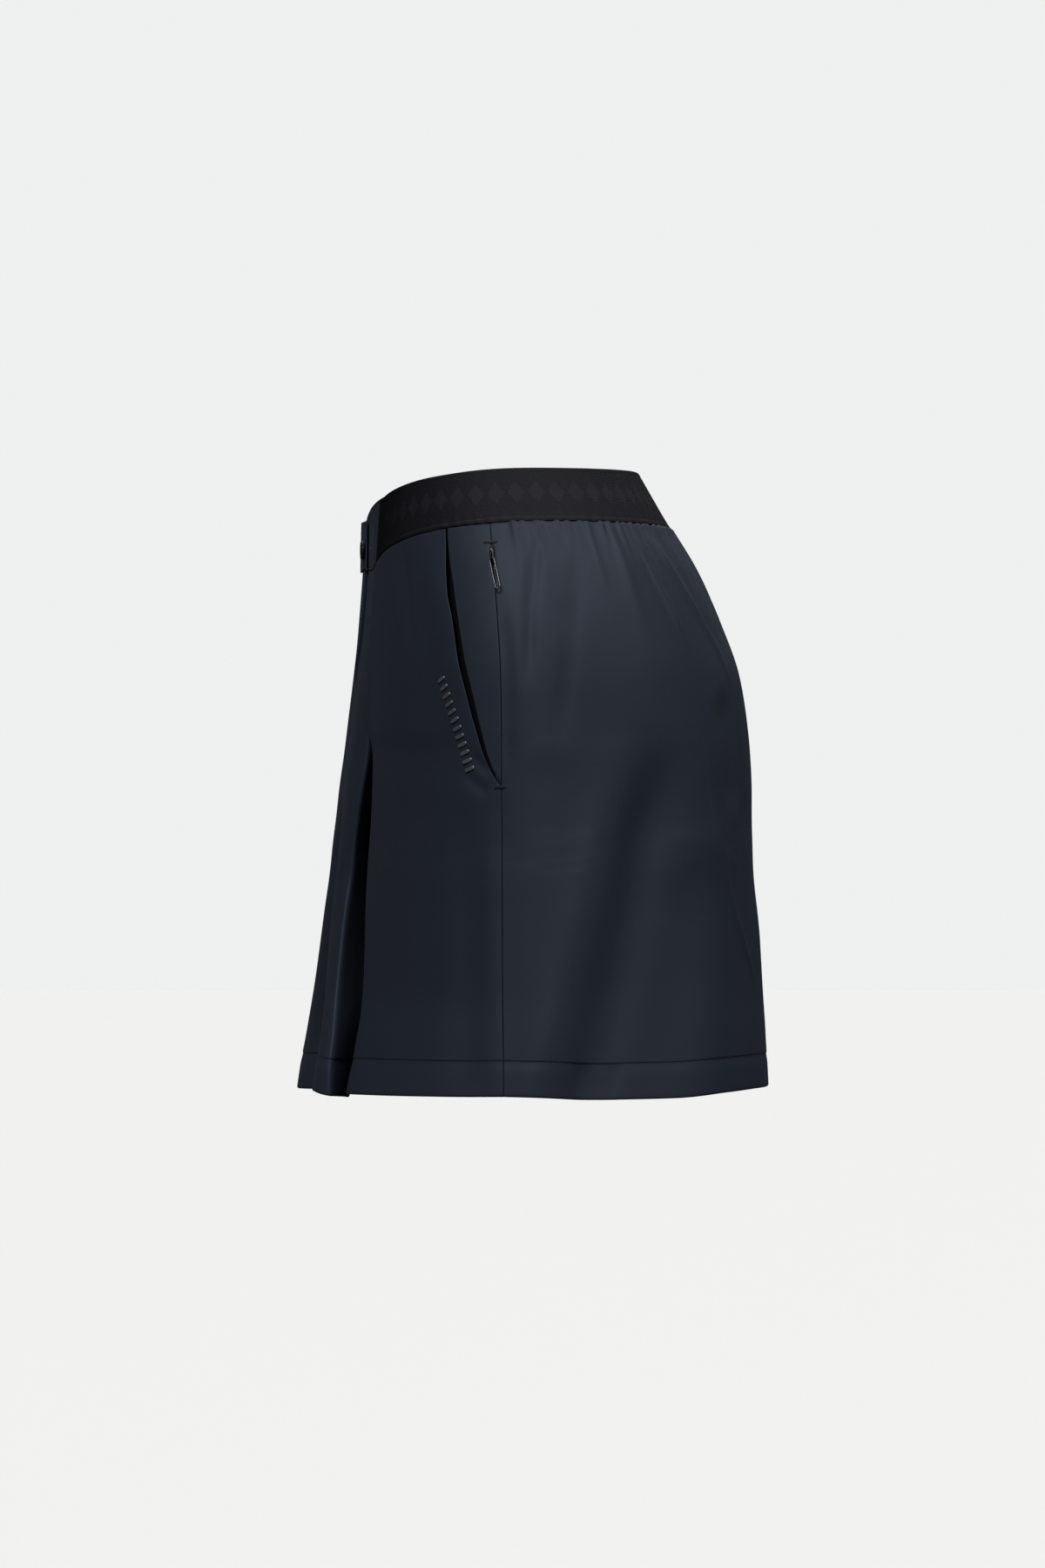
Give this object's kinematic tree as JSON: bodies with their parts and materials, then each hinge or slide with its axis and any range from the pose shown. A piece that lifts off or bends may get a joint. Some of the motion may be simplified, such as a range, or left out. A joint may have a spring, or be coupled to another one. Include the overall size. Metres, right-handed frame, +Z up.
{
  "type": "pleated athletic shorts",
  "caption": "Wide pleated athletic shorts, worn shape with no wearer: open waist and legs, elastic back waistband, buttoned front tabs, slanted and zipped side pockets.",
  "frame": {"origin": "middle of the waist, at the height of the waistband, where the wearer holds the shorts up", "axes": "+X towards the wearer's left, -Y towards the front, +Z up along the wearer"},
  "size_m": [0.4452, 0.2838, 0.3907],
  "materials": {
    "cloth": "smooth woven cloth, dark slate navy, faint sheen",
    "elastic": "woven elastic, black",
    "button": "glossy black",
    "metal": "gunmetal plating"
  },
  "bodies": {
    "shorts": {"front_left": "cloth", "front_right": "cloth", "back_left": "cloth", "back_right": "cloth", "pocket_side_left": "cloth", "pocket_side_right": "cloth", "waist_elastic": "elastic", "waist_tab_left": "cloth", "waist_tab_right": "cloth", "waist_button": "button", "zip_slider_left": "metal", "zip_slider_right": "metal"},
    "pull_left": {"zip_pull_left": "metal"},
    "pull_right": {"zip_pull_right": "metal"}
  },
  "joints": [
    {"name": "pull_left_swing", "type": "hinge", "parent": "shorts", "child": "pull_left", "pos_m": [0.16752, -0.02934, -0.03159], "axis": [-0.306, -0.9357, -0.1757], "range_deg": [0, 150]},
    {"name": "pull_right_swing", "type": "hinge", "parent": "shorts", "child": "pull_right", "pos_m": [-0.16752, -0.02934, -0.03159], "axis": [-0.306, 0.9357, 0.1757], "range_deg": [0, 150]}
  ]
}
